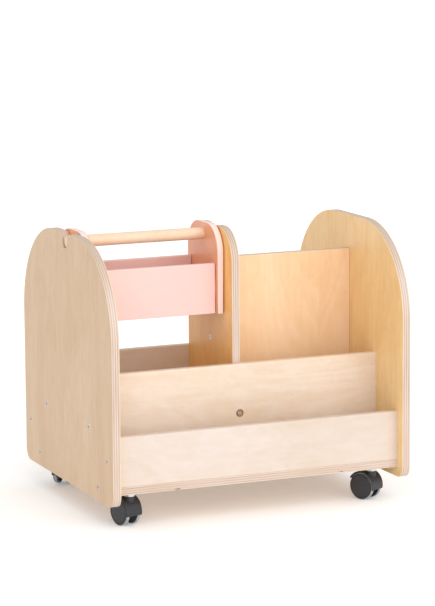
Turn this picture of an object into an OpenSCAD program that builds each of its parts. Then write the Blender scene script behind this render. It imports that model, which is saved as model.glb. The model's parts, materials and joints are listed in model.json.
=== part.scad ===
// Two-sided rolling book cart for a classroom, with a lift-out caddy on one side.
// Millimetres. +X runs along the cart, +Z is up, and the origin is on the floor
// under the middle of the cart. The front tray faces -Y and the caddy is at -X.

/* [Cart] */
// Overall length, over both end panels
cart_len = 580; // [560:5:640]
// Overall depth, front to back
cart_depth = 460; // [450:5:500]
// Height of the end panels
panel_h = 460; // [450:5:490]
// Thickness of every board of the cart
board_t = 15; // [13:0.5:16]
// Radius of the end panels' top corners
panel_top_r = 170; // [100:5:180]
// Radius of the end panels' bottom corners
panel_bottom_r = 22; // [10:1:30]
// How far the base board stands above the end panels' bottom edges
base_lift = 18; // [14:1:19]

/* [Trays] */
// From an end panel's edge to the outer face of a lip board
lip_setback = 21; // [16:1:24]
// Height of the lip boards above the base board
lip_h = 90; // [60:5:110]
// From an end panel's edge to the outer face of a tier board
tier_setback = 111; // [100:1:120]
// Height of the tier boards above the base board
tier_h = 184; // [150:2:200]
// Height of the centre back panel above the base board
back_h = 364; // [300:2:380]
// Radius of the centre partition's top corners
partition_r = 61; // [30:1:70]

/* [Caddy] */
// Diameter of the rod that the caddy hangs from
rod_d = 22; // [18:0.5:24]
// From the top of the end panels down to the rod's axis
rod_drop = 17; // [14:0.5:20]
// Width of the U notches that hold the rod
notch_w = 28; // [26:0.5:32]
// Overall depth of the caddy
caddy_depth = 140; // [120:2:150]
// Overall height of the caddy
caddy_h = 161; // [150:1:170]
// Thickness of the caddy's end boards
caddy_end_t = 12; // [10:0.5:14]
// Thickness of the caddy's side boards
caddy_side_t = 10; // [8:0.5:11]
// Height of the caddy's side boards
caddy_side_h = 92.5; // [80:0.5:96]

/* [Casters] */
// Height from the floor to the underside of the base board
caster_h = 64; // [64:0.5:67]
// Diameter of the wheels
wheel_d = 50; // [46:1:50]
// From the swivel axis to the axle
trail = 12; // [10:0.5:13]
// Where each caster points at rest: front left, front right, rear left, rear right
caster_turn = [16, 28.5, -40, 30];

/* [Hidden] */
$fn = 96;
play = 0.05;                 // radial gap of a running fit, and of a screw in its hole
clear = 0.3;                 // gap between bodies that only rest near each other
over = 1;                    // how far a cutting shape runs past a face

birch = "#e6cfae";
pine = "#f4e4cf";
beech = "#f1dcb9";
pink = "#f8d2c4";
zinc = "#c6cacf";
black = "#35363b";
grey = "#77787c";

// heights
base_z = caster_h;
base_top = base_z + board_t;
panel_z = base_z - base_lift;
panel_top = panel_z + panel_h;
rod_z = panel_top - rod_drop;

// cart layout
inner_len = cart_len - 2 * board_t;
lip_y = cart_depth / 2 - lip_setback - board_t / 2;
tier_y = cart_depth / 2 - tier_setback - board_t / 2;
base_depth = cart_depth - 2 * lip_setback;
partition_depth = 2 * tier_y - board_t;
back_len = (inner_len - board_t) / 2;
bay_x = (inner_len / 2 + board_t / 2) / 2;
notch_shoulder_r = 14;

// caddy
caddy_gap = 1.75;            // from each caddy end to the board beside it
caddy_len = back_len - 2 * caddy_gap;
caddy_x = -bay_x;
caddy_top = rod_z + 21;
caddy_z = caddy_top - caddy_h;
caddy_top_r = 50;
caddy_inset = 8.5;           // side boards' outer faces behind the ends' edges
caddy_reveal = 1.5;          // open joint between a side board and a caddy end
caddy_floor_t = 9;
caddy_side_y = caddy_depth / 2 - caddy_inset - caddy_side_t / 2;
caddy_inner_len = caddy_len - 2 * caddy_end_t;
tongue_h = 31;
tongue_t = 6;
tongue_len = 7;              // how far a tongue enters its side board
pin_d = 2.4;
pin_inset = 4.5;             // from a side board's end to its pin
rod_over = 13.75;            // how far the rod stands out past each caddy end

// wood screws
screw_head_d = 9.6;
screw_shank_d = 4;
screw_len = 42;
screw_sink = 0.3;            // heads sit this far under the wood
pan_head_d = 9.4;
pan_head_h = 2.4;
pan_seat_d = 15;             // shallow round seat around the pan heads
tier_screw_z = panel_z + 126;
lip_screw_z = panel_z + 80;
base_screw_y = cart_depth / 2 - 75.5;
back_screw_z = panel_z + 248;
lip_base_screw_x = inner_len / 2 - 115;
lip_base_screw_in = 4.5;     // from the base board's long edge to those screws
lip_base_sink = 3.5;         // their seats break out through the edge
lip_base_seat_d = 13;
lip_base_screw_len = screw_len - 5;

// casters
wheel_r = wheel_d / 2;
wheel_w = 8.5;
wheel_gap = 17;              // between the two wheels
tread_t = 1.2;
rim_r = wheel_r - tread_t;
wheel_in = wheel_gap / 2;
wheel_out = wheel_in + wheel_w;
wheel_hollow = 4;            // depth of the hollow in a wheel's inner side
hood_in_r = wheel_r + 0.8;
hood_r = wheel_r + 3.3;
hood_from = -11;             // the hood runs from this angle below the front ...
hood_to = 150;               // ... over the top, to this angle
web_t = 12;
web_from = 15;               // the web between the wheels leaves the hood open below
web_to = 142;
hub_r = 9;
hub_t = wheel_gap - 2 * clear;
boss_r = 9;
axle_r = 3;
axle_half = 14;
stem_r = 4;
stem_z = 34;
stem_top = base_z + 11;
nut_h = 10;                  // hexagon collar between the hood and the base board
nut_af = 19;
nut_z = base_z - nut_h;
insert_r = 6;
insert_len = 12;
swivel_x = inner_len / 2 - 36.5;
swivel_y = base_depth / 2 - 34.6;

CASTERS = ["front_left", "front_right", "rear_left", "rear_right"];
CASTER_SIDE = [[-1, -1], [1, -1], [-1, 1], [1, 1]];
CASTER_PARTS = ["insert", "nut", "stem", "hood", "axle",
                "left_wheel", "right_wheel", "left_tread", "right_tread"];
FRAME = ["left_end_panel", "right_end_panel", "base_board", "front_lip_board",
         "rear_lip_board", "front_tier_board", "rear_tier_board",
         "centre_partition", "centre_back_panel", "end_panel_screws",
         "partition_screws", "back_panel_screws", "base_screws"];
CADDY = ["caddy_rod", "caddy_left_end", "caddy_right_end", "caddy_front_board",
         "caddy_rear_board", "caddy_bottom_board", "caddy_pins"];

// ---- boards -------------------------------------------------------------

// A square-edged board that stands on z, centred on X and Y
module flat_board(len, depth, height, z) {
    translate([-len / 2, -depth / 2, z]) cube([len, depth, height]);
}

// Stands a YZ outline up as a board of thickness t, centred on X
module upright(t) {
    rotate([90, 0, 90]) translate([0, 0, -t / 2]) linear_extrude(t) children();
}

// Outline with two rounded top corners and, if asked, two rounded bottom ones
module round_topped(width, z0, z1, top_r, bottom_r = 0) {
    half = width / 2;
    translate([-half, z0 + bottom_r]) square([width, z1 - top_r - z0 - bottom_r]);
    translate([top_r - half, z1 - top_r]) square([width - 2 * top_r, top_r]);
    for (s = [-1, 1]) translate([s * (half - top_r), z1 - top_r]) circle(top_r);
    if (bottom_r > 0) {
        translate([bottom_r - half, z0]) square([width - 2 * bottom_r, bottom_r]);
        for (s = [-1, 1]) translate([s * (half - bottom_r), z0 + bottom_r]) circle(bottom_r);
    }
}

// The U notch with rounded shoulders, open to the top
module notch() {
    bottom = rod_z - rod_d / 2 - clear;
    reach = notch_w / 2 + notch_shoulder_r;
    translate([0, bottom + notch_w / 2]) circle(d = notch_w);
    translate([-notch_w / 2, bottom + notch_w / 2])
        square([notch_w, panel_top - bottom]);
    difference() {
        translate([-reach, panel_top - notch_shoulder_r])
            square([2 * reach, notch_shoulder_r + over]);
        for (s = [-1, 1]) translate([s * reach, panel_top - notch_shoulder_r])
            circle(notch_shoulder_r);
    }
}

// ---- screws: each points down -Z from the face it is driven through -------

module countersunk(len, gap = 0) {
    head_r = screw_head_d / 2 + gap;
    shank_r = screw_shank_d / 2 + gap;
    top = gap > 0 ? over : -screw_sink;
    neck = screw_sink + 0.4 + (screw_head_d - screw_shank_d) / 2;
    rotate_extrude() polygon([[0, top], [head_r, top], [head_r, -screw_sink - 0.4],
        [shank_r, -neck], [shank_r, 3 - len], [gap, -len - gap], [0, -len - gap]]);
}

module countersunk_screw(len = screw_len) {
    difference() {
        countersunk(len);
        translate([0, 0, -2.8]) cylinder(d = 4.6, h = 4, $fn = 6);
    }
}

module pan(len, gap = 0) {
    head_r = pan_head_d / 2;
    shank_r = screw_shank_d / 2 + gap;
    top = gap > 0 ? over : 0;
    seat = gap > 0 ? pan_seat_d / 2 : head_r;
    rotate_extrude() polygon([[0, top], [seat - 0.6, top], [seat, -0.9],
        [seat, -pan_head_h], [shank_r, -pan_head_h], [shank_r, 3 - len],
        [gap, -len - gap], [0, -len - gap]]);
}

module pan_screw(len = screw_len) {
    difference() {
        pan(len);
        for (a = [0, 90]) rotate(a) translate([-2.4, -0.55, -1.5]) cube([4.8, 1.1, 3]);
    }
}

// Places on both end panels where a screw enters a tier, lip or base board
module at_end_screws() {
    for (x = [-1, 1], y = [-1, 1]) {
        for (p = [[tier_y, tier_screw_z], [lip_y, lip_screw_z],
                  [base_screw_y, base_z + board_t / 2]])
            translate([x * cart_len / 2, y * p[0], p[1]]) rotate([0, x * 90, 0]) children();
    }
}

// Places where the tier boards are screwed to the centre partition
module at_partition_screws() {
    for (y = [-1, 1]) translate([0, y * (tier_y + board_t / 2), tier_screw_z])
        rotate([-90 * y, 0, 0]) children();
}

// Places where the partition and the right end panel are screwed to the back panel
module at_back_screws() {
    translate([-board_t / 2, 0, back_screw_z]) rotate([0, -90, 0]) children();
    translate([cart_len / 2, 0, back_screw_z]) rotate([0, 90, 0]) children();
}

// Places under the base board: lips, partition and back panel
module at_lip_base_screws() {
    for (x = [-1, 1], y = [-1, 1])
        translate([x * lip_base_screw_x, y * (base_depth / 2 - lip_base_screw_in), base_z])
            rotate([180, 0, 0]) children();
}

module at_centre_base_screws() {
    for (y = [-1, 1]) translate([0, y * partition_depth / 4, base_z])
        rotate([180, 0, 0]) children();
    for (x = [0.3, 0.75]) translate([board_t / 2 + x * back_len, 0, base_z])
        rotate([180, 0, 0]) children();
}

module base_screw_holes() {
    at_lip_base_screws() translate([0, 0, -lip_base_sink]) {
        countersunk(lip_base_screw_len, play);
        cylinder(d = lip_base_seat_d, h = lip_base_sink + over);
    }
    at_centre_base_screws() countersunk(screw_len, play);
}

// ---- cart ---------------------------------------------------------------

module end_panel(side, notched) {
    color(birch) difference() {
        translate([side * (cart_len - board_t) / 2, 0, 0]) upright(board_t) difference() {
            round_topped(cart_depth, panel_z, panel_top, panel_top_r, panel_bottom_r);
            if (notched) notch();
        }
        at_end_screws() countersunk(screw_len, play);
        at_back_screws() countersunk(screw_len, play);
    }
}

module left_end_panel() { end_panel(-1, true); }

module right_end_panel() { end_panel(1, false); }

module base_board() {
    color(birch) difference() {
        flat_board(inner_len, base_depth, board_t, base_z);
        at_end_screws() countersunk(screw_len, play);
        base_screw_holes();
        for (i = [0:3]) at_caster(i) translate([0, 0, base_z - over])
            cylinder(r = insert_r + play, h = insert_len + play + over);
    }
}

module lip_board(side) {
    color(pine) difference() {
        translate([0, side * lip_y, 0]) flat_board(inner_len, board_t, lip_h, base_top);
        at_end_screws() countersunk(screw_len, play);
        base_screw_holes();
    }
}

module front_lip_board() { lip_board(-1); }

module rear_lip_board() { lip_board(1); }

module tier_board(side) {
    color(pine) difference() {
        translate([0, side * tier_y, 0]) flat_board(inner_len, board_t, tier_h, base_top);
        at_end_screws() countersunk(screw_len, play);
        at_partition_screws() pan(screw_len, play);
    }
}

module front_tier_board() { tier_board(-1); }

module rear_tier_board() { tier_board(1); }

module centre_partition() {
    color(birch) difference() {
        upright(board_t) difference() {
            round_topped(partition_depth, base_top, panel_top, partition_r);
            notch();
        }
        at_partition_screws() pan(screw_len, play);
        at_back_screws() countersunk(screw_len, play);
        base_screw_holes();
    }
}

module centre_back_panel() {
    color(birch) difference() {
        translate([bay_x, 0, 0]) flat_board(back_len, board_t, back_h, base_top);
        at_back_screws() countersunk(screw_len, play);
        base_screw_holes();
    }
}

module end_panel_screws() { color(zinc) at_end_screws() countersunk_screw(); }

module partition_screws() { color(zinc) at_partition_screws() pan_screw(); }

module back_panel_screws() { color(zinc) at_back_screws() countersunk_screw(); }

module base_screws() {
    color(zinc) {
        at_centre_base_screws() countersunk_screw();
        at_lip_base_screws() translate([0, 0, -lip_base_sink])
            countersunk_screw(lip_base_screw_len);
    }
}

// ---- caddy --------------------------------------------------------------

module caddy_rod() {
    len = caddy_len + 2 * rod_over;
    edge = 3;                // how far the rounding of both ends reaches
    bulge = 0.3 * edge;      // how far it stands out past a plain chamfer
    r = rod_d / 2;
    dimple_r = 1.5;          // turning centre in both ends
    dimple = 1.2;
    half = [[0, dimple], [dimple_r, 0], [r - edge, 0], [r - bulge, bulge], [r, edge]];
    color(beech) translate([caddy_x - len / 2, 0, rod_z]) rotate([0, 90, 0]) rotate_extrude()
        polygon(concat(half, [for (i = [4:-1:0]) [half[i][0], len - half[i][1]]]));
}

// One tongue block for each side board, and the four pins' places, about the caddy's middle
module at_tongues(side) {
    z = caddy_z + caddy_side_h / 2;
    for (y = [-1, 1]) translate([side * (caddy_inner_len / 2), y * caddy_side_y, z]) children();
}

module at_pins() {
    for (side = [-1, 1]) at_tongues(side)
        translate([-side * (caddy_reveal + pin_inset), 0, 0]) rotate([90, 0, 0]) children();
}

module tongue(side, gap = 0) {
    len = caddy_reveal + tongue_len + gap;
    translate([side < 0 ? 0 : -len, -tongue_t / 2 - gap, -tongue_h / 2 - gap])
        cube([len, tongue_t + 2 * gap, tongue_h + 2 * gap]);
}

module caddy_end(side) {
    color(pink) translate([caddy_x, 0, 0]) difference() {
        union() {
            translate([side * (caddy_len - caddy_end_t) / 2, 0, 0]) upright(caddy_end_t)
                difference() {
                    round_topped(caddy_depth, caddy_z, caddy_top, caddy_top_r);
                    translate([0, rod_z]) circle(rod_d / 2 + play);
                }
            at_tongues(side) tongue(side);
        }
        at_pins() cylinder(d = pin_d + 2 * play, h = 3 * caddy_side_t, center = true);
    }
}

module caddy_left_end() { caddy_end(-1); }

module caddy_right_end() { caddy_end(1); }

module caddy_side_board(side) {
    color(pink) translate([caddy_x, 0, 0]) difference() {
        translate([0, side * caddy_side_y, 0])
            flat_board(caddy_inner_len - 2 * caddy_reveal, caddy_side_t, caddy_side_h, caddy_z);
        for (end = [-1, 1]) at_tongues(end) tongue(end, play);
        at_pins() cylinder(d = pin_d + 2 * play, h = 3 * caddy_side_t, center = true);
    }
}

module caddy_front_board() { caddy_side_board(-1); }

module caddy_rear_board() { caddy_side_board(1); }

module caddy_bottom_board() {
    depth = 2 * caddy_side_y - caddy_side_t;
    color(pink) translate([caddy_x, 0, 0])
        flat_board(caddy_inner_len, depth, caddy_floor_t, caddy_z);
}

module caddy_pins() {
    color(zinc) translate([caddy_x, 0, 0]) at_pins()
        cylinder(d = pin_d, h = caddy_side_t - 0.4, center = true);
}

// ---- casters: swivel axis on Z, axle parallel to X, trailing towards +Y ----

module at_caster(i) {
    side = CASTER_SIDE[i];
    translate([side[0] * swivel_x, side[1] * swivel_y, 0]) children();
}

module turned(i) {
    at_caster(i) rotate(caster_turn[i]) children();
}

module at_axle() {
    translate([0, trail, wheel_r]) children();
}

// Turns a profile of radius and place along the axle into a ring around the axle,
// from one angle to another, where 0 points forward and 90 points up
module around_axle(from = 0, to = 360) {
    rotate([90, 0, -90]) rotate(from) rotate_extrude(angle = to - from) children();
}

module caster_insert(i) {
    color(zinc) at_caster(i) translate([0, 0, base_z]) difference() {
        cylinder(r = insert_r, h = insert_len);
        translate([0, 0, -over]) cylinder(r = stem_r + play, h = insert_len + 2 * over);
    }
}

module caster_nut(i) {
    corner_r = nut_af / 2 / cos(30);
    flat_r = nut_af / 2 - 0.4;
    chamfer = 0.9;
    color(zinc) at_caster(i) translate([0, 0, nut_z]) difference() {
        cylinder(r = corner_r, h = nut_h, $fn = 6);
        translate([0, 0, -over]) cylinder(r = stem_r + play, h = nut_h + 2 * over);
        rotate_extrude() polygon([[flat_r, -over], [flat_r, 0], [corner_r, chamfer],
                                  [corner_r + over, chamfer], [corner_r + over, -over]]);
    }
}

module caster_stem(i) {
    len = stem_top - stem_z;
    color(zinc) at_caster(i) translate([0, 0, stem_z]) rotate_extrude()
        polygon([[0, 0], [stem_r - 0.8, 0], [stem_r, 0.8], [stem_r, 3],
                 [stem_r - 0.5, 3.2], [stem_r - 0.5, 4.2], [stem_r, 4.4],
                 [stem_r, len - 0.8], [stem_r - 0.8, len], [0, len]]);
}

module caster_hood(i) {
    half = wheel_out;
    edge = 1.2;
    boss_top = nut_z - clear;
    color(black) turned(i) difference() {
        union() {
            at_axle() around_axle(hood_from, hood_to)
                polygon([[hood_in_r, -half], [hood_r - edge / 2, -half], [hood_r, edge - half],
                         [hood_r, half - edge], [hood_r - edge / 2, half], [hood_in_r, half]]);
            at_axle() around_axle(web_from, web_to)
                translate([0, -web_t / 2]) square([hood_in_r + 0.9, web_t]);
            at_axle() rotate([0, 90, 0]) cylinder(r = hub_r, h = hub_t, center = true);
            difference() {
                translate([0, 0, base_z / 2]) cylinder(r = boss_r, h = boss_top - base_z / 2);
                at_axle() rotate([0, 90, 0])
                    cylinder(r = hood_in_r + 0.5, h = 2 * boss_r + 2 * over, center = true);
            }
        }
        translate([0, 0, stem_z - clear]) cylinder(r = stem_r + play, h = base_z);
        at_axle() rotate([0, 90, 0])
            cylinder(r = axle_r + play, h = hub_t + 2 * over, center = true);
    }
}

module caster_axle(i) {
    edge = 0.5;
    color(zinc) turned(i) at_axle() around_axle()
        polygon([[0, -axle_half], [axle_r - edge, -axle_half], [axle_r, edge - axle_half],
                 [axle_r, axle_half - edge], [axle_r - edge, axle_half], [0, axle_half]]);
}

// side is -1 for the wheel at the axle's -X end and 1 for the other
module on_axle(i, side) {
    turned(i) at_axle() mirror([side > 0 ? 0 : 1, 0, 0]) rotate([0, 90, 0])
        rotate_extrude() children();
}

module caster_wheel(i, side) {
    bore = axle_r + play;
    color(black) on_axle(i, side)
        polygon([[bore, wheel_in], [7, wheel_in], [7, wheel_in + wheel_hollow],
                 [rim_r - 3, wheel_in + wheel_hollow], [rim_r - 3, wheel_in + 0.4],
                 [rim_r, wheel_in + 0.4], [rim_r, wheel_out - 1.3],
                 [rim_r - 1.3, wheel_out - 0.5], [rim_r - 2.4, wheel_out - 0.5],
                 [rim_r - 3, wheel_out - 0.9], [rim_r - 3.6, wheel_out - 0.4],
                 [8, wheel_out], [0, wheel_out], [0, axle_half + clear],
                 [bore, axle_half + clear]]);
}

module caster_tread(i, side) {
    edge = 0.5;
    near = wheel_in + 0.4;
    far = wheel_out - 1.3;
    color(grey) on_axle(i, side)
        polygon([[rim_r, near], [wheel_r - edge, near], [wheel_r, near + edge],
                 [wheel_r, far - edge], [wheel_r - edge, far], [rim_r, far]]);
}

module caster_part(i, part) {
    if (part == "insert") caster_insert(i);
    if (part == "nut") caster_nut(i);
    if (part == "stem") caster_stem(i);
    if (part == "hood") caster_hood(i);
    if (part == "axle") caster_axle(i);
    if (part == "left_wheel") caster_wheel(i, -1);
    if (part == "right_wheel") caster_wheel(i, 1);
    if (part == "left_tread") caster_tread(i, -1);
    if (part == "right_tread") caster_tread(i, 1);
}

left_end_panel();
right_end_panel();
base_board();
front_lip_board();
rear_lip_board();
front_tier_board();
rear_tier_board();
centre_partition();
centre_back_panel();
end_panel_screws();
partition_screws();
back_panel_screws();
base_screws();
caddy_rod();
caddy_left_end();
caddy_right_end();
caddy_front_board();
caddy_rear_board();
caddy_bottom_board();
caddy_pins();
for (i = [0:3], part = CASTER_PARTS)
    caster_part(i, part);
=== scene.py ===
"""Looks of a rolling book cart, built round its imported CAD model. Metres, in the model's own frame."""
import json
import math

import bmesh
import bpy
from mathutils import Matrix, Vector


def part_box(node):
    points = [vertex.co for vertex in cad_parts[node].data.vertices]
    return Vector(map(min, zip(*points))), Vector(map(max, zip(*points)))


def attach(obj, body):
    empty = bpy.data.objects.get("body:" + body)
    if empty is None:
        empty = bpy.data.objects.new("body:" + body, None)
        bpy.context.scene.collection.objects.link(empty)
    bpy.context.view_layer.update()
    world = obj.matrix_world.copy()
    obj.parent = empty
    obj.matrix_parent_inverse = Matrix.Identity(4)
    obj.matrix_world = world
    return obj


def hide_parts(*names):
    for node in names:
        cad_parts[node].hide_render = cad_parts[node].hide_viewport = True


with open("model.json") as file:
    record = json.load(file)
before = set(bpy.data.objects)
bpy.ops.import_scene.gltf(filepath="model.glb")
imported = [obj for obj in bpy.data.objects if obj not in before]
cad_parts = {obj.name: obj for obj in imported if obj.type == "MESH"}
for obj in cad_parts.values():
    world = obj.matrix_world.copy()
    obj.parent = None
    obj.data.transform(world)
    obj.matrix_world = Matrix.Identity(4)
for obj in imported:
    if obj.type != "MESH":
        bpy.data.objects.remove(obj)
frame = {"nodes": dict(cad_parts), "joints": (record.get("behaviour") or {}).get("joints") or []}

MM = 0.001
X, Y, Z = 0, 1, 2
CORNERS = ("front_left", "front_right", "rear_left", "rear_right")
joints = {joint["name"]: joint for joint in frame["joints"]}
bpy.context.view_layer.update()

# ---- camera and light: the studio the cart stands in ----------------------

CAMERA_PLACE = (-1.950, -4.616, 1.201)
CAMERA_TURN = 22.986            # degrees, from looking along +Y towards +X
CAMERA_TILT = 9.561             # degrees below the horizon
CAMERA_ROLL = -0.424
CAMERA_LENS = 163.5             # mm, on a 36 mm sensor
SUN_FROM = (0.06, -0.82, 0.42)  # towards the key light
SUN_POWER = 1.75
SUN_SOFTNESS = 75               # degrees across
SKY_POWER = 0.81
FLOOR_HALF = 60
FLOOR_GLOW = 0.20               # stands in for the lit table the cart is shown on


def add_camera():
    camera = bpy.data.objects.new("camera", bpy.data.cameras.new("camera"))
    bpy.context.scene.collection.objects.link(camera)
    bpy.context.scene.camera = camera
    camera.data.sensor_width = 36
    camera.data.lens = CAMERA_LENS
    camera.data.clip_end = 100
    turn, tilt, roll = (math.radians(a) for a in (CAMERA_TURN, CAMERA_TILT, CAMERA_ROLL))
    camera.matrix_world = (Matrix.Translation(CAMERA_PLACE) @ Matrix.Rotation(-turn, 4, "Z")
                           @ Matrix.Rotation(math.pi / 2 - tilt, 4, "X")
                           @ Matrix.Rotation(roll, 4, "Z"))


def add_studio():
    scene = bpy.context.scene
    scene.view_settings.view_transform = "Standard"
    scene.world = bpy.data.worlds.new("studio")
    scene.world.use_nodes = True
    sky = scene.world.node_tree.nodes["Background"]
    sky.inputs["Color"].default_value = (1.0, 0.99, 0.98, 1)
    sky.inputs["Strength"].default_value = SKY_POWER

    sun = bpy.data.objects.new("key_light", bpy.data.lights.new("key_light", "SUN"))
    scene.collection.objects.link(sun)
    sun.data.energy = SUN_POWER
    sun.data.angle = math.radians(SUN_SOFTNESS)
    sun.data.color = (1.0, 0.985, 0.96)
    sun.rotation_euler = Vector(SUN_FROM).to_track_quat("Z", "Y").to_euler()

    mesh = bpy.data.meshes.new("floor")
    corners = [(-1, -1), (1, -1), (1, 1), (-1, 1)]
    mesh.from_pydata([(x * FLOOR_HALF, y * FLOOR_HALF, 0) for x, y in corners], [], [(0, 1, 2, 3)])
    floor = bpy.data.objects.new("floor", mesh)
    scene.collection.objects.link(floor)
    pale = bpy.data.materials.new("floor_white")
    pale.use_nodes = True
    surface = pale.node_tree.nodes["Principled BSDF"]
    surface.inputs["Base Color"].default_value = (0.93, 0.93, 0.93, 1)
    surface.inputs["Roughness"].default_value = 0.9
    surface.inputs["Specular IOR Level"].default_value = 0.2
    surface.inputs["Emission Color"].default_value = (1, 1, 1, 1)
    surface.inputs["Emission Strength"].default_value = FLOOR_GLOW
    mesh.materials.append(pale)


# ---- materials ------------------------------------------------------------

def linear(hex_colour):
    """A colour written as #rrggbb, as linear light"""
    parts = [int(hex_colour[i:i + 2], 16) / 255 for i in (1, 3, 5)]
    return tuple(p / 12.92 if p <= 0.04045 else ((p + 0.055) / 1.055) ** 2.4 for p in parts) + (1,)


class Finish:
    """One material's node tree, with a short call for each kind of node"""

    def __init__(self, name, **settings):
        self.material = bpy.data.materials.new(name)
        self.material.use_nodes = True
        self.tree = self.material.node_tree
        self.surface = self.tree.nodes["Principled BSDF"]
        for socket, value in settings.items():
            self.surface.inputs[socket.replace("_", " ")].default_value = value
        self.place = self.tree.nodes.new("ShaderNodeTexCoord").outputs["Object"]

    def set(self, socket, value):
        if isinstance(value, bpy.types.NodeSocket):
            self.tree.links.new(value, socket)
        else:
            socket.default_value = value

    def node(self, kind, inputs, output=0, **settings):
        made = self.tree.nodes.new("ShaderNode" + kind)
        for name, value in settings.items():
            setattr(made, name, value)
        for key, value in inputs.items():
            self.set(made.inputs[key], value)
        return made.outputs[output]

    def math(self, operation, a, b=0.0):
        return self.node("Math", {0: a, 1: b}, operation=operation)

    def scaled(self, by, shift=(0, 0, 0)):
        """The place on the piece, stretched by a factor along each axis"""
        return self.node("Mapping", {"Vector": self.place, "Scale": by, "Location": shift})

    def noise(self, vector, scale, detail=2.0, warp=0.0):
        return self.node("TexNoise", {"Vector": vector, "Scale": scale, "Detail": detail,
                                      "Distortion": warp})

    def remap(self, value, low, high, to_low=0.0, to_high=1.0):
        return self.node("MapRange", {"Value": value, "From Min": low, "From Max": high,
                                      "To Min": to_low, "To Max": to_high})

    def mix(self, share, a, b, blend="MIX"):
        return self.node("Mix", {0: share, 6: a, 7: b}, output=2, data_type="RGBA",
                         blend_type=blend)

    def finish(self, colour=None, roughness=None, height=None, depth=0.0):
        """Joins up the surface. height is a 0 to 1 value and depth its relief in metres."""
        if colour is not None:
            self.set(self.surface.inputs["Base Color"], colour)
        if roughness is not None:
            self.set(self.surface.inputs["Roughness"], roughness)
        if height is not None:
            bump = self.node("Bump", {"Height": height, "Distance": depth, "Strength": 1.0})
            self.set(self.surface.inputs["Normal"], bump)
        return self.material


def along(axis, long_way, cross_way=1.0):
    """A scale that is stretched along the grain"""
    return tuple(long_way if i == axis else cross_way for i in range(3))


def wood_face(f, grain, pale, dark, shift, figure=0.16):
    """Tone and relief of a planed face whose grain runs along one axis: broad soft clouds, faint
    growth contours, and a little fibre and a few pores"""
    cloud = f.noise(f.scaled(along(grain, 0.30), shift), 7, detail=3, warp=0.8)
    contour = f.math("SINE", f.math("MULTIPLY", cloud, 64))
    mottle = f.noise(f.scaled(along(grain, 0.6), shift), 55, detail=3, warp=1.2)
    streak = f.noise(f.scaled(along(grain, 0.05), shift), 170, detail=4, warp=0.4)
    fibre = f.noise(f.scaled(along(grain, 0.06), shift), 1300, detail=2)
    pores = f.noise(f.scaled(along(grain, 0.10), shift), 900, detail=1)
    tone = f.math("ADD", f.remap(cloud, 0.3, 0.7, 0, 0.44), f.remap(contour, -1, 1, 0, 0.15))
    tone = f.math("ADD", tone, f.remap(mottle, 0.35, 0.65, 0, figure))
    tone = f.math("ADD", tone, f.remap(streak, 0.35, 0.65, 0, 0.13))
    tone = f.math("ADD", tone, f.remap(fibre, 0.3, 0.7, 0, 0.08))
    colour = f.mix(f.remap(tone, 0, 1), pale, dark)
    fleck = f.remap(pores, 0.68, 0.76, 0, 0.28)
    colour = f.mix(fleck, colour, linear("#9a7450"))
    relief = f.math("SUBTRACT", f.math("MULTIPLY", fibre, 0.6), fleck)
    return colour, relief, streak


def solid_wood(name, grain, pale, dark, shift=(0, 0, 0), roughness=0.42):
    f = Finish(name, Coat_Weight=0.12, Coat_Roughness=0.35)
    colour, relief, streak = wood_face(f, grain, linear(pale), linear(dark), shift)
    gloss = f.remap(streak, 0.3, 0.7, roughness - 0.05, roughness + 0.06)
    return f.finish(colour, gloss, relief, 0.00006)


VENEERS = 7
PLY = 15 / VENEERS * MM         # one veneer of the plywood
PAINT_SHADE = 0.93
# a paler rim fading in over these depths is a painted highlight along a board's edges
HIGHLIGHT_RIM_FROM, HIGHLIGHT_RIM_TO = 1.5 * MM, 0.5 * MM   # depths under a face between which a paler rim fades out


def plywood(name, through, middle, grain, low_face, high_face, shift=(0, 0, 0)):
    """Birch plywood as a solid: its veneers lie across one axis and show on every edge. Each face
    has a pale and a dark tone of its own; the cart's inner faces use deeper, warmer tones as painted
    warm bounce light."""
    f = Finish(name, Coat_Weight=0.12, Coat_Roughness=0.35)
    place = f.node("SeparateXYZ", {0: f.place}, output=through)
    off = f.math("SUBTRACT", place, middle)
    # each side of the sheet gets its own tones; deeper, warmer tones on an inner face are painted bounce
    # light and shade, not a different veneer
    high_side = f.math("GREATER_THAN", off, 0)
    pale, dark = (f.mix(high_side, linear(low), linear(high))
                  for low, high in zip(low_face, high_face))
    face, relief, streak = wood_face(f, grain, pale, dark, shift)
    depth = f.math("DIVIDE", f.math("SUBTRACT", VENEERS / 2 * PLY, f.math("ABSOLUTE", off)), PLY)
    layer = f.math("FLOOR", depth)
    part = f.math("FRACT", depth)
    crosswise = f.math("MODULO", layer, 2)
    inside = f.math("GREATER_THAN", depth, 0.25)

    # each veneer has its own tone, and the cross veneers show their end grain
    spread = f.node("CombineXYZ", {through: f.math("MULTIPLY", layer, 3.7)})
    drift = f.node("VectorMath", {0: f.scaled(along(through, 0.0, 7.0)), 1: spread},
                   operation="ADD")
    own = f.noise(drift, 1.0, detail=3)
    dots = f.noise(f.place, 2600, detail=1)
    long_veneer = f.mix(f.remap(own, 0.35, 0.65), linear("#d3c5bd"), linear("#c8b5a5"))
    cross_veneer = f.mix(f.remap(own, 0.35, 0.65), linear("#cab3a3"), linear("#b99d86"))
    cross_veneer = f.mix(f.remap(dots, 0.55, 0.7, 0, 0.25), cross_veneer, linear("#9a765d"))
    edge = f.mix(crosswise, long_veneer, cross_veneer)
    glue = f.math("MULTIPLY", f.remap(part, 0.10, 0.02, 0, 0.35), inside)
    edge = f.mix(glue, edge, linear("#8e6c52"))

    colour = f.mix(inside, face, edge)
    sawn = f.noise(f.place, 1200, detail=2)
    height = f.math("SUBTRACT", f.math("ADD", relief, f.math("MULTIPLY", sawn, inside)), glue)
    gloss = f.math("ADD", f.remap(streak, 0.3, 0.7, 0.38, 0.48), f.math("MULTIPLY", inside, 0.12))
    return f.finish(colour, gloss, height, 0.00007)


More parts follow.
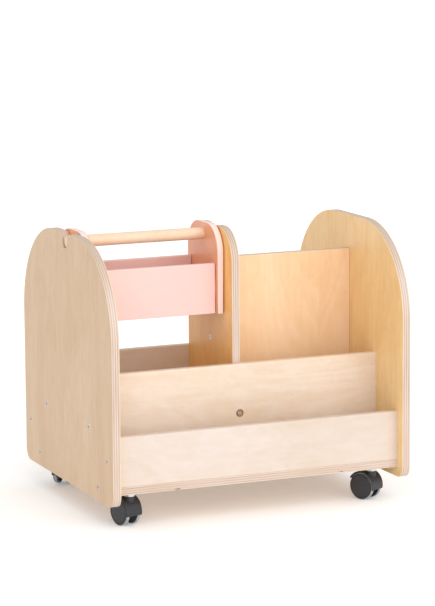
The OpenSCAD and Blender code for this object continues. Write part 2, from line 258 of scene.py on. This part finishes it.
def paint(name, colour, grain, shift=(0, 0, 0), rim=None, middle=0.0):
    """Satin paint, with the wood's grain just telling through. A board that stands across X can
    have a paler rim, a painted highlight along its edges; middle is its place along X."""
    f = Finish(name, Coat_Weight=0.2, Coat_Roughness=0.3)
    grain_lines = f.noise(f.scaled(along(grain, 0.04), shift), 420, detail=3)
    cloud = f.noise(f.scaled((1, 1, 1), shift), 11, detail=3)
    peel = f.noise(f.place, 1400, detail=1)
    base = linear(colour)
    worn = tuple(c * PAINT_SHADE for c in base[:3]) + (1,)
    # painted light: the paler rim is a painted highlight on the edges, and the colour on the faces keeps
    # its painted shade
    if rim:
        across = f.node("SeparateXYZ", {0: f.place}, output=X)
        off = f.math("ABSOLUTE", f.math("SUBTRACT", across, middle))
        painted_shade_share = f.remap(off, CADDY_END_T / 2 - HIGHLIGHT_RIM_FROM, CADDY_END_T / 2 - HIGHLIGHT_RIM_TO)
        base, worn = (f.mix(painted_shade_share, linear(rim), shade) for shade in (base, worn))
    tone = f.math("ADD", f.remap(cloud, 0.35, 0.65, 0, 0.6), f.remap(grain_lines, 0.4, 0.6, 0, 0.2))
    height = f.math("ADD", f.math("MULTIPLY", grain_lines, 0.8), f.math("MULTIPLY", peel, 0.25))
    return f.finish(f.mix(tone, base, worn), f.remap(cloud, 0.3, 0.7, 0.36, 0.46), height, 0.00007)


def zinc():
    f = Finish("zinc", Metallic=1.0)
    spangle = f.noise(f.place, 700, detail=3)
    scuff = f.noise(f.scaled((1, 1, 6)), 260, detail=4)
    colour = f.mix(f.remap(spangle, 0.35, 0.65), linear("#dadee4"), linear("#bcc1c9"))
    return f.finish(colour, f.remap(scuff, 0.3, 0.7, 0.22, 0.42), spangle, 0.00003)


def nylon():
    """Moulded black nylon with a fine spark-eroded grain and some dust"""
    f = Finish("moulded_nylon", Specular_IOR_Level=0.5)
    grain = f.noise(f.place, 2400, detail=2)
    cloud = f.noise(f.place, 120, detail=4)
    dust = f.remap(cloud, 0.52, 0.75, 0, 0.35)
    colour = f.mix(dust, linear("#2a2b31"), linear("#43444c"))
    return f.finish(colour, f.remap(cloud, 0.3, 0.7, 0.34, 0.52), grain, 0.00005)


def tread_rubber():
    f = Finish("grey_tread")
    grain = f.noise(f.place, 1800, detail=2)
    dirt = f.noise(f.place, 150, detail=4)
    colour = f.mix(f.remap(dirt, 0.4, 0.7), linear("#a6a6aa"), linear("#848488"))
    return f.finish(colour, f.remap(dirt, 0.3, 0.7, 0.35, 0.6), grain, 0.00006)


# ---- mesh building --------------------------------------------------------

def arc(centre, radius, start, end, steps=12):
    """Points from one angle to another, in degrees anticlockwise"""
    angles = [math.radians(start + (end - start) * i / steps) for i in range(steps + 1)]
    return [(centre[0] + radius * math.cos(a), centre[1] + radius * math.sin(a)) for a in angles]


def rounded_box(low, high, radii, steps=6):
    """A rectangle's outline, anticlockwise from its lower left corner, with four corner radii"""
    corners = [(low[0], low[1], 1, 1), (high[0], low[1], -1, 1), (high[0], high[1], -1, -1),
               (low[0], high[1], 1, -1)]
    points = []
    for i, ((x, y, in_x, in_y), radius) in enumerate(zip(corners, radii)):
        if radius > 0:
            points += arc((x + in_x * radius, y + in_y * radius), radius, 180 + 90 * i,
                          270 + 90 * i, max(steps, int(radius / (4 * MM))))
        else:
            points.append((x, y))
    return points


def stand(axis, point, level):
    """A point of an outline as a place in space, where the outline lies across axis"""
    place = list(point)
    place.insert(axis, level)
    return Vector(place)


def extruded(outline, axis, low, high, rim=0.0, segments=3):
    """A solid between two levels of an axis, whose two rims are rounded"""
    solid = bmesh.new()
    rings = [[solid.verts.new(stand(axis, p, level)) for p in outline] for level in (low, high)]
    caps = [solid.faces.new(ring) for ring in rings]
    for i in range(len(outline)):
        j = (i + 1) % len(outline)
        solid.faces.new((rings[0][i], rings[0][j], rings[1][j], rings[1][i]))
    if rim > 0:
        edges = list({edge for cap in caps for edge in cap.edges})
        bmesh.ops.bevel(solid, geom=edges, offset=rim, segments=segments, profile=0.5,
                        affect="EDGES", clamp_overlap=False)
    bmesh.ops.recalc_face_normals(solid, faces=solid.faces)
    return solid


def swept(profile, start=0, end=360, step=4):
    """A closed profile of (radius, place along X) turned about the X axis. 0 degrees points to
    the front, -Y, and 90 up."""
    whole = end - start == 360
    count = round((end - start) / step)
    solid = bmesh.new()
    rings = []
    for i in range(count + (0 if whole else 1)):
        a = math.radians(start + (end - start) * i / count)
        rings.append([solid.verts.new((x, -r * math.cos(a), r * math.sin(a))) for r, x in profile])
    for i in range(count):
        here, there = rings[i], rings[(i + 1) % len(rings)]
        for j in range(len(profile)):
            k = (j + 1) % len(profile)
            solid.faces.new((here[j], here[k], there[k], there[j]))
    if not whole:
        solid.faces.new(rings[0])
        solid.faces.new(rings[-1])
    bmesh.ops.remove_doubles(solid, verts=solid.verts, dist=1e-7)
    on_axis = [edge for edge in solid.edges if edge.is_wire]
    bmesh.ops.delete(solid, geom=on_axis, context="EDGES")
    bmesh.ops.recalc_face_normals(solid, faces=solid.faces)
    return solid


def cylinder(radius, half):
    """The profile of a solid cylinder about X, for swept"""
    return [(0, -half), (radius, -half), (radius, half), (0, half)]


def piece(name, solid, material, smooth_below=35):
    """Makes an object of a bmesh, smooth where its faces meet at less than an angle"""
    mesh = bpy.data.meshes.new(name)
    solid.to_mesh(mesh)
    solid.free()
    mesh.materials.append(material)
    made = bpy.data.objects.new(name, mesh)
    bpy.context.scene.collection.objects.link(made)
    smooth(made, smooth_below)
    return made


def smooth(made, angle):
    mesh = made.data
    mesh.polygons.foreach_set("use_smooth", [True] * len(mesh.polygons))
    mesh.set_sharp_from_angle(angle=math.radians(angle))
    mesh.update()


def combine(target, other, operation, smooth_below=35):
    """Cuts another object out of the target, or joins it on, and removes the other"""
    step = target.modifiers.new("cut", "BOOLEAN")
    step.operation = operation
    step.object = other
    step.solver = "MANIFOLD"
    step.material_mode = "TRANSFER"
    graph = bpy.context.evaluated_depsgraph_get()
    target.data = bpy.data.meshes.new_from_object(target.evaluated_get(graph))
    target.modifiers.clear()
    bpy.data.objects.remove(other)
    smooth(target, smooth_below)


def weighted(made):
    """Keeps broad faces flat where they run into a rounded edge"""
    step = made.modifiers.new("broad_faces_flat", "WEIGHTED_NORMAL")
    step.keep_sharp = True
    return made


def merged(solids):
    """Several solids, apart from each other, as one"""
    whole = bmesh.new()
    for solid in solids:
        mesh = bpy.data.meshes.new("part")
        solid.to_mesh(mesh)
        solid.free()
        whole.from_mesh(mesh)
        bpy.data.meshes.remove(mesh)
    return whole


def moved(solid, matrix):
    bmesh.ops.transform(solid, matrix=matrix, verts=solid.verts)
    return solid


def rides(made, body, slot, *nodes):
    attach(made, body)
    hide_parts(*nodes)
    return made


# ---- wood ------------------------------------------------------------------

PANEL_TOP_R = 170 * MM
PANEL_BOTTOM_R = 22 * MM
PANEL_ARRIS = 2.0 * MM
PARTITION_TOP_R = 61 * MM
NOTCH_HALF = 14 * MM
NOTCH_SHOULDER_R = 14 * MM
NOTCH_DEPTH = 28.3 * MM
BOARD_ARRIS = 2.4 * MM          # the long edges of the lip and tier boards
END_ARRIS = 0.5 * MM            # their ends, where they meet a panel
TIER_SCREW_RISE = 126 * MM      # above the end panels' bottom edges
LIP_SCREW_RISE = 80 * MM
BACK_SCREW_RISE = 248 * MM
BASE_SCREW_IN = 75.5 * MM       # from an end panel's edge
HEAD_R = 4.85 * MM
SHANK_R = 2.05 * MM
HEAD_SINK = 0.7 * MM
SEAT_R = 7.5 * MM
SEAT_DEPTH = 2.4 * MM
LIP_BASE_X = 160 * MM
LIP_BASE_IN = 4.5 * MM
LIP_BASE_SEAT_R = 6.5 * MM
LIP_BASE_SEAT_DEPTH = 3.5 * MM
PARTITION_ARRIS = 1.6 * MM
BACK_ARRIS = 1.2 * MM
BASE_ARRIS = 0.8 * MM
SCREW_REACH = 60 * MM           # cutters run this far into the wood
BACK_SCREW_SHARES = (0.3, 0.75) # along the back panel's length

panel_low, panel_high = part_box("left_end_panel")
base_low, base_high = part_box("base_board")


def notched_top(high, half, top_r):
    """The top of an upright board from its right corner to its left, through a U notch"""
    bottom = high - NOTCH_DEPTH + NOTCH_HALF
    shoulder = NOTCH_HALF + NOTCH_SHOULDER_R
    level = high - NOTCH_SHOULDER_R
    return (arc((half - top_r, high - top_r), top_r, 0, 90, 40)
            + arc((shoulder, level), NOTCH_SHOULDER_R, 90, 180)
            + arc((0, bottom), NOTCH_HALF, 0, -180, 24)
            + arc((-shoulder, level), NOTCH_SHOULDER_R, 0, 90)
            + arc((top_r - half, high - top_r), top_r, 90, 180, 40))


def round_top(high, half, top_r):
    return (arc((half - top_r, high - top_r), top_r, 0, 90, 40)
            + arc((top_r - half, high - top_r), top_r, 90, 180, 40))


def countersink():
    """The hole of a flat-headed wood screw, driven along -X from the plane X = 0"""
    cone = HEAD_SINK + HEAD_R - SHANK_R
    return swept([(0, MM), (HEAD_R, MM), (HEAD_R, -HEAD_SINK), (SHANK_R, -cone),
                  (SHANK_R, -SCREW_REACH), (0, -SCREW_REACH)], step=10)


def seat(radius, deep):
    """A flat-bottomed screw seat with a pilot hole, driven along -X from the plane X = 0"""
    return swept([(0, MM), (radius, MM), (radius, -deep), (SHANK_R, -deep),
                  (SHANK_R, -SCREW_REACH), (0, -SCREW_REACH)], step=10)


def facing(place, direction):
    """Turns something built along +X to face a direction, at a place"""
    return Matrix.Translation(place) @ Vector(direction).to_track_quat("X", "Z").to_matrix().to_4x4()


def cut(board, solids, material, smooth_below=35):
    combine(board, piece("cutter", merged(solids), material), "DIFFERENCE", smooth_below)


def end_panel_holes(side):
    """Screw holes on one end panel, which face outwards"""
    x = -side * panel_low[X]
    tier, lip = (sum(v[Y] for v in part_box(name)) / 2 for name in ("rear_tier_board", "rear_lip_board"))
    places = []
    for y in (-1, 1):
        places += [(x, y * tier, panel_low[Z] + TIER_SCREW_RISE),
                   (x, y * lip, panel_low[Z] + LIP_SCREW_RISE),
                   (x, y * (panel_high[Y] - BASE_SCREW_IN), (base_low[Z] + base_high[Z]) / 2)]
    if side > 0:
        places.append((x, 0, panel_low[Z] + BACK_SCREW_RISE))
    return [moved(countersink(), facing(place, (side, 0, 0))) for place in places]


def end_panel(name, side, material, hole_wood):
    low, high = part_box(name)
    half = high[Y]
    bottom = (arc((PANEL_BOTTOM_R - half, low[Z] + PANEL_BOTTOM_R), PANEL_BOTTOM_R, 180, 270)
              + arc((half - PANEL_BOTTOM_R, low[Z] + PANEL_BOTTOM_R), PANEL_BOTTOM_R, 270, 360))
    top = (notched_top if side < 0 else round_top)(high[Z], half, PANEL_TOP_R)
    board = piece(name + "_wood", extruded(bottom + top, X, low[X], high[X], PANEL_ARRIS), material)
    cut(board, end_panel_holes(side), hole_wood)
    rides(weighted(board), "cart", "birch_ply", name)


def partition(material, hole_wood):
    low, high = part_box("centre_partition")
    outline = [(low[Y], low[Z]), (high[Y], low[Z])] + notched_top(high[Z], high[Y], PARTITION_TOP_R)
    board = piece("centre_partition_wood", extruded(outline, X, low[X], high[X], PARTITION_ARRIS),
                  material)
    place = (low[X], 0, panel_low[Z] + BACK_SCREW_RISE)
    cut(board, [moved(countersink(), facing(place, (-1, 0, 0)))], hole_wood)
    rides(weighted(board), "cart", "birch_ply", "centre_partition")


def back_panel(material):
    low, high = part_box("centre_back_panel")
    outline = rounded_box((low[X], low[Z]), (high[X], high[Z]), (0, 0, 0, 0))
    board = piece("centre_back_panel_wood", extruded(outline, Y, low[Y], high[Y], BACK_ARRIS), material)
    rides(weighted(board), "cart", "birch_ply", "centre_back_panel")


def base_board(material, hole_wood):
    low, high = base_low, base_high
    outline = rounded_box((low[X], low[Y]), (high[X], high[Y]), (0, 0, 0, 0))
    board = piece("base_board_wood", extruded(outline, Z, low[Z], high[Z], BASE_ARRIS), material)
    seats = [moved(seat(LIP_BASE_SEAT_R, LIP_BASE_SEAT_DEPTH),
                   facing((x * LIP_BASE_X, y * (high[Y] - LIP_BASE_IN), low[Z]), (0, 0, -1)))
             for x in (-1, 1) for y in (-1, 1)]
    cut(board, seats, hole_wood)
    back_low, back_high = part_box("centre_back_panel")
    half_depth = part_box("centre_partition")[1][Y] / 2
    length = back_high[X] - back_low[X]
    places = [(0, -half_depth), (0, half_depth)]
    places += [(back_low[X] + share * length, 0) for share in BACK_SCREW_SHARES]
    cut(board, [moved(countersink(), facing((x, y, low[Z]), (0, 0, -1))) for x, y in places],
        hole_wood)
    rides(weighted(board), "cart", "birch_ply", "base_board")


def long_piece(name, material, arris=BOARD_ARRIS):
    """A board along X with four rounded long edges"""
    low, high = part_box(name)
    outline = rounded_box((low[Y], low[Z]), (high[Y], high[Z]), (END_ARRIS, END_ARRIS, arris, arris))
    return piece(name + "_wood", extruded(outline, X, low[X], high[X], END_ARRIS, 2), material)


def lip_board(name, material):
    rides(weighted(long_piece(name, material)), "cart", "pale_board", name)


def tier_board(name, material, seat_wood):
    board = long_piece(name, material)
    low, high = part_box(name)
    side = -1 if low[Y] < 0 else 1
    outer = low[Y] if side < 0 else high[Y]
    place = (0, outer, panel_low[Z] + TIER_SCREW_RISE)
    cut(board, [moved(seat(SEAT_R, SEAT_DEPTH), facing(place, (0, side, 0)))], seat_wood)
    rides(weighted(board), "cart", "pale_board", name)


# ---- caddy -----------------------------------------------------------------

CADDY_TOP_R = 50 * MM
CADDY_ARRIS = 3.0 * MM
CADDY_END_T = 12 * MM
SIDE_ARRIS = 2.2 * MM
ROD_HOLE_R = 11.05 * MM
ROD_END_R = 3.0 * MM
TONGUE_HEIGHT = 31 * MM
TONGUE_THICK = 6 * MM
TONGUE_LENGTH = 8.5 * MM
TONGUE_ARRIS = 0.6 * MM
SLOT_LENGTH = 7.05 * MM
SLOT_GAP = 0.05 * MM
PIN_R = 1.25 * MM
PIN_FROM_END = 4.5 * MM
BORE_REACH = 30 * MM
DIMPLE = ((0, 1.5 * MM), (0.9 * MM, 0.6 * MM), (1.5 * MM, 0))   # radius and depth in a rod end


def rod_axis():
    low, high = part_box("caddy_rod")
    return Vector((0, 0, (low[Z] + high[Z]) / 2))


def bore_cutter(radius):
    """A cutter for a round hole that runs along X, on both sides of the plane X = 0"""
    return swept(cylinder(radius, BORE_REACH), step=5)


def tongue(middle_y, middle_z, start, end, gap=0.0):
    """A tongue, or with a gap its slot, between two levels of X"""
    half_t, half_h = TONGUE_THICK / 2 + gap, TONGUE_HEIGHT / 2 + gap
    outline = rounded_box((middle_y - half_t, middle_z - half_h),
                          (middle_y + half_t, middle_z + half_h), (TONGUE_ARRIS,) * 4, 3)
    return extruded(outline, X, min(start, end), max(start, end))


def caddy_end(name, side, material):
    low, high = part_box(name)
    outer = low[X] if side < 0 else high[X]
    inner = outer - side * CADDY_END_T
    half = high[Y]
    outline = [(-half, low[Z]), (half, low[Z])] + round_top(high[Z], half, CADDY_TOP_R)
    solid = extruded(outline, X, min(inner, outer), max(inner, outer), CADDY_ARRIS)
    board = piece(name + "_painted", solid, material)
    for row in ("caddy_front_board", "caddy_rear_board"):
        row_low, row_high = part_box(row)
        middle = (row_low + row_high) / 2
        block = tongue(middle[Y], middle[Z], inner + side * MM, inner - side * TONGUE_LENGTH)
        combine(board, piece("tongue", block, material), "UNION")
    hole = moved(bore_cutter(ROD_HOLE_R), Matrix.Translation(rod_axis() + Vector((outer, 0, 0))))
    cut(board, [hole], material)
    rides(weighted(board), "caddy", "pink_paint", name)


def caddy_side(name, material):
    board = long_piece(name, material, SIDE_ARRIS)
    low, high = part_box(name)
    middle = (low + high) / 2
    pins = [moved(bore_cutter(PIN_R), facing((x, middle[Y], middle[Z]), (0, 1, 0)))
            for x in (low[X] + PIN_FROM_END, high[X] - PIN_FROM_END)]
    cut(board, pins, material)
    slots = [tongue(middle[Y], middle[Z], x - inwards * MM, x + inwards * SLOT_LENGTH, SLOT_GAP)
             for x, inwards in ((low[X], 1), (high[X], -1))]
    cut(board, slots, material)
    rides(weighted(board), "caddy", "pink_paint", name)


def caddy_floor(material):
    board = long_piece("caddy_bottom_board", material, END_ARRIS)
    rides(weighted(board), "caddy", "pink_paint", "caddy_bottom_board")


def caddy_rod(material):
    low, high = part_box("caddy_rod")
    radius = (high[Z] - low[Z]) / 2
    profile = []
    for end, way in ((low[X], 1), (high[X], -1)):
        dimple = [(r, end + way * deep) for r, deep in DIMPLE]
        curve = [(radius - ROD_END_R + ROD_END_R * math.sin(math.radians(a)),
                  end + way * ROD_END_R * (1 - math.cos(math.radians(a)))) for a in range(0, 91, 15)]
        points = dimple + curve
        profile += points if way > 0 else points[::-1]
    rod = swept(profile, step=4)
    rod = piece("caddy_rod_wood", moved(rod, Matrix.Translation(rod_axis())), material)
    rides(rod, "rod", "rod_wood", "caddy_rod")


# ---- casters ---------------------------------------------------------------
# Built in their own axes: the swivel axis is Z, the axle lies along X, and 0 degrees is forward.

WHEEL_R = 25 * MM
TREAD = 1.2 * MM
WHEEL_IN = 8.5 * MM
WHEEL_OUT = 17 * MM
WHEEL_HOLLOW = 4 * MM           # depth of the hollow in a wheel's inner side
HOOD_IN_R = 25.8 * MM
HOOD_R = 28.3 * MM
HOOD_FROM, HOOD_TO = -11, 150
HOOD_THIN = 0.35                # the shell's thickness at its front edge, of the whole ...
HOOD_SWELL = 60                 # ... which it reaches after this many degrees
WEB_FROM, WEB_TO = 15, 142
WEB_HALF = 6 * MM
HUB_R = 9 * MM
HUB_HALF = 8.2 * MM
BOSS_R = 9 * MM
BORE_R = 3.05 * MM
STEM_BORE_R = 4.05 * MM
STEM_BOTTOM = 33.7 * MM
STEM_CUT_TOP = 70 * MM
AXLE_CUT_HALF = 10 * MM
NUT_ARRIS = 0.15 * MM
NUT_CHAMFER = 0.9 * MM
NUT_CHAMFER_IN = 0.4 * MM       # the chamfer starts this far inside the flats
WHEEL_EDGE = 1.3 * MM           # radius between a wheel's rim and its face
FACE_SINK = 0.4 * MM            # its rim is this much behind its hub
FACE_DOME = 0.5 * MM
DOME_R = 20 * MM
WHEEL_BORE_TO = 14.3 * MM       # the axle's blind bore ends here
WHEEL_HUB_R = 7 * MM
WHEEL_WALL = 3 * MM             # round the hollow
TREAD_EDGE = 0.9 * MM
HOOD_EDGE = 1.1 * MM
WEB_SINK = 0.9 * MM             # how far the web runs into the shell
WEB_ARRIS = 0.4 * MM
BOSS_BOTTOM = 32 * MM
BOSS_GAP = 0.3 * MM             # under the nut
BOSS_EDGE = 0.8 * MM
WHEEL_ROOM = 0.5 * MM           # more than the shell's inner radius, cut out of the boss


def caster_facts(corner):
    """Swivel place, trail and turned matrix of one caster, from its joints"""
    swivel = Vector(joints[corner + "_swivel"]["pos_m"])
    spin = joints[corner + "_left_spin"]
    axle, axis = Vector(spin["pos_m"]), spin["axis"]
    trail = math.hypot(axle[X] - swivel[X], axle[Y] - swivel[Y])
    matrix = (Matrix.Translation((swivel[X], swivel[Y], 0))
              @ Matrix.Rotation(math.atan2(axis[Y], axis[X]), 4, "Z"))
    return swivel, trail, matrix


def wheel_profile():
    """Half a wheel's section, from its rim over the grooved and domed face to the hollow inside"""
    rim, out, edge = WHEEL_R - TREAD, WHEEL_OUT, WHEEL_EDGE
    back = WHEEL_IN + FACE_SINK
    rounded = [(rim - edge + edge * math.cos(math.radians(a)), out - FACE_SINK - edge
                + edge * math.sin(math.radians(a))) for a in range(0, 91, 15)]
    groove = [(rim - inwards * MM, out - deep * MM)
              for inwards, deep in ((2.6, 0.4), (3.0, 1.0), (3.5, 1.0), (3.9, 0.55))]
    dome = [(r * MM, out - FACE_DOME * (r * MM / DOME_R) ** 2) for r in (18, 15, 12, 9, 6, 3, 0)]
    hollow = WHEEL_IN + WHEEL_HOLLOW
    inside = [(0, WHEEL_BORE_TO), (BORE_R, WHEEL_BORE_TO), (BORE_R, WHEEL_IN),
              (WHEEL_HUB_R, WHEEL_IN), (WHEEL_HUB_R, hollow), (rim - WHEEL_WALL, hollow),
              (rim - WHEEL_WALL, back + FACE_SINK), (rim - WHEEL_WALL + FACE_SINK, back), (rim, back)]
    return rounded + groove + dome + inside


def tread_profile():
    rim, edge = WHEEL_R - TREAD, TREAD_EDGE
    near, far = WHEEL_IN + FACE_SINK, WHEEL_OUT - FACE_SINK - WHEEL_EDGE
    top = [(WHEEL_R - edge + edge * math.sin(math.radians(a)),
            near + edge - edge * math.cos(math.radians(a))) for a in range(0, 91, 18)]
    other = [(r, near + far - x) for r, x in reversed(top)]
    return [(rim, near)] + top + other + [(rim, far)]


def hood_shell():
    """The hood's curved shell round the axle, which thins towards its front edge"""
    half, edge = WHEEL_OUT, HOOD_EDGE
    outside = [(HOOD_R - edge + edge * math.sin(math.radians(a)),
                half - edge + edge * math.cos(math.radians(a))) for a in range(0, 91, 15)]
    profile = [(HOOD_IN_R, half)] + outside + [(r, -x) for r, x in reversed(outside)]
    profile += [(HOOD_IN_R, -half)]
    solid = swept(profile, HOOD_FROM, HOOD_TO, 4)
    for vert in solid.verts:
        radius = math.hypot(vert.co.y, vert.co.z)
        angle = math.degrees(math.atan2(vert.co.z, -vert.co.y))
        thick = min(1, HOOD_THIN + (1 - HOOD_THIN) * (angle - HOOD_FROM) / HOOD_SWELL)
        if radius > HOOD_IN_R:
            wanted = HOOD_IN_R + (radius - HOOD_IN_R) * thick
            vert.co.y *= wanted / radius
            vert.co.z *= wanted / radius
    return solid


def boss(axle, material):
    """The round boss that turns under the nut, with room for the wheels"""
    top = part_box("front_left_caster_nut")[0][Z] - BOSS_GAP
    shoulder = BOSS_EDGE * 0.3
    profile = [(0, BOSS_BOTTOM), (BOSS_R, BOSS_BOTTOM), (BOSS_R, top - BOSS_EDGE),
               (BOSS_R - shoulder, top - shoulder), (BOSS_R - BOSS_EDGE, top), (0, top)]
    made = piece("boss", moved(swept(profile, step=5), facing((0, 0, 0), (0, 0, 1))), material)
    room = swept(cylinder(HOOD_IN_R + WHEEL_ROOM, BORE_REACH))
    cut(made, [moved(room, Matrix.Translation(axle))], material)
    return made


def hood_solid(trail, material):
    """The moulded shell over both wheels, with its web, hub and kingpin boss"""
    shell = piece("hood", hood_shell(), material)
    fan = [(0, 0)] + [(-r, z) for r, z in arc((0, 0), HOOD_IN_R + WEB_SINK, WEB_FROM, WEB_TO, 30)]
    combine(shell, piece("web", extruded(fan, X, -WEB_HALF, WEB_HALF, WEB_ARRIS), material), "UNION")
    combine(shell, piece("hub", swept(cylinder(HUB_R, HUB_HALF), step=5), material), "UNION")
    axle = Vector((0, trail, WHEEL_R))
    shell.data.transform(Matrix.Translation(axle))
    combine(shell, boss(axle, material), "UNION")
    pin = swept([(0, STEM_BOTTOM), (STEM_BORE_R, STEM_BOTTOM), (STEM_BORE_R, STEM_CUT_TOP),
                 (0, STEM_CUT_TOP)], step=10)
    bore = swept(cylinder(BORE_R, AXLE_CUT_HALF), step=10)
    cut(shell, [moved(pin, facing((0, 0, 0), (0, 0, 1)))], material)
    cut(shell, [moved(bore, Matrix.Translation(axle))], material)
    return shell


def copy_of(master, name, matrix):
    made = bpy.data.objects.new(name, master.data)
    bpy.context.scene.collection.objects.link(made)
    made.matrix_world = matrix
    return made


def nut_master(metal):
    """The hexagon collar under the base board, with its lower corners turned off"""
    low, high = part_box("front_left_caster_nut")
    corner_r = (high[X] - low[X]) / 2
    flat_r = corner_r * math.cos(math.radians(30))
    hexagon = arc((0, 0), corner_r, 0, 300, 5)
    nut = piece("nut", extruded(hexagon, Z, low[Z], high[Z], NUT_ARRIS, 2), metal)
    up = facing((0, 0, 0), (0, 0, 1))
    bore = swept([(0, low[Z] - MM), (STEM_BORE_R, low[Z] - MM), (STEM_BORE_R, high[Z] + MM),
                  (0, high[Z] + MM)], step=10)
    cut(nut, [moved(bore, up)], metal)
    far = corner_r + 2 * MM
    start_r = flat_r - NUT_CHAMFER_IN
    cone = swept([(start_r, low[Z] - MM), (start_r, low[Z]), (corner_r, low[Z] + NUT_CHAMFER),
                  (far, low[Z] + NUT_CHAMFER), (far, low[Z] - MM)], step=5)
    cut(nut, [moved(cone, up)], metal)
    return nut


def casters(plastic, rubber, metal):
    trail = caster_facts("front_left")[1]
    hood = hood_solid(trail, plastic)
    wheel = piece("wheel", swept(wheel_profile(), step=4), plastic, 30)
    tread = piece("tread", swept(tread_profile(), step=4), rubber, 30)
    nut = nut_master(metal)
    for corner in CORNERS:
        swivel, trail, turned = caster_facts(corner)
        still = Matrix.Translation((swivel[X], swivel[Y], 0))
        name = corner + "_caster_"
        rides(copy_of(nut, name + "nut_steel", still), "cart", "zinc_steel", name + "nut")
        rides(weighted(copy_of(hood, name + "hood_shell", turned)), corner + "_fork", "black_nylon",
              name + "hood")
        axle = turned @ Matrix.Translation((0, trail, WHEEL_R))
        for side, spin in (("left", math.pi), ("right", 0)):
            place = axle @ Matrix.Rotation(spin, 4, "Z")
            body = f"{corner}_{side}_wheel"
            rides(copy_of(wheel, f"{name}{side}_disc", place), body, "black_nylon",
                  f"{name}{side}_wheel")
            rides(copy_of(tread, f"{name}{side}_tyre", place), body, "wheel_tread",
                  f"{name}{side}_tread")
    for master in (hood, wheel, tread, nut):
        bpy.data.objects.remove(master)


# ---- the cart ---------------------------------------------------------------

def build():
    hole_wood = solid_wood("cut_wood", Z, "#c99a66", "#a8743f")
    # the inside tones are deeper and warmer than the outside ones: painted warm bounce light on every
    # face that looks into the cart
    outside, inside = ("#d5ba99", "#c5a079"), ("#fcdfa9", "#e8bb7c")
    # the partition's left face: painted shade with warm bounce light
    painted_bounce_orange = ("#fcd287", "#f1ac5f")
    end_middle = (panel_high[X] + panel_low[X]) / 2
    left = plywood("left_panel_ply", X, end_middle, Z, outside, inside, (0.3, 0.1, 0.7))
    right = plywood("right_panel_ply", X, -end_middle, Z, inside, outside, (3.1, 0.4, 0.2))
    middle = plywood("partition_ply", X, 0, Z, painted_bounce_orange, inside, (5.2, 0.9, 0.1))
    back = plywood("back_panel_ply", Y, 0, Z, ("#f3d2af", "#e5b988"), inside, (0.7, 7.3, 0.4))
    base = plywood("base_ply", Z, (base_low[Z] + base_high[Z]) / 2, X, outside, outside,
                   (0.2, 0.5, 9.3))
    end_panel("left_end_panel", -1, left, hole_wood)
    end_panel("right_end_panel", 1, right, hole_wood)
    partition(middle, hole_wood)
    back_panel(back)
    base_board(base, hole_wood)
    for i, name in enumerate(("front_lip_board", "rear_lip_board")):
        lip_board(name, solid_wood(name, X, "#d8ccc5", "#cdbaa7", (1.3 + i, 2.2, 0.6)))
    for i, name in enumerate(("front_tier_board", "rear_tier_board")):
        wood = solid_wood(name, X, "#eaddd3", "#dac0a2", (4.3 + i, 1.2, 0.9))
        tier_board(name, wood, hole_wood)

    # the caddy is painted one pink; its ends get a deeper salmon on their faces, a painted shade with
    # warm bounce light, and a paler blush rim, a painted highlight along their edges
    pink, painted_shade_salmon, painted_highlight_blush = "#ecc5bf", "#f2aa81", "#f0d9d4"
    for i, (name, side) in enumerate((("caddy_left_end", -1), ("caddy_right_end", 1))):
        middle_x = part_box(name)[i][X] - side * CADDY_END_T / 2
        caddy_end(name, side, paint(name, painted_shade_salmon, Z, (2 + i, 0, 0), painted_highlight_blush, middle_x))
    caddy_side("caddy_front_board", paint("pink_front", pink, X, (0, 4, 0)))
    caddy_side("caddy_rear_board", paint("pink_rear", pink, X, (0, 5, 0)))
    caddy_floor(paint("pink_bottom", pink, X, (0, 0, 6)))
    caddy_rod(solid_wood("beech_rod", X, "#f1dac5", "#dbb791", (0.4, 8.1, 0.2), 0.36))

    metal = zinc()
    casters(nylon(), tread_rubber(), metal)
    for name, node in frame["nodes"].items():
        if not node.hide_render:
            node.data.materials.clear()
            node.data.materials.append(metal)


add_camera()
add_studio()
build()
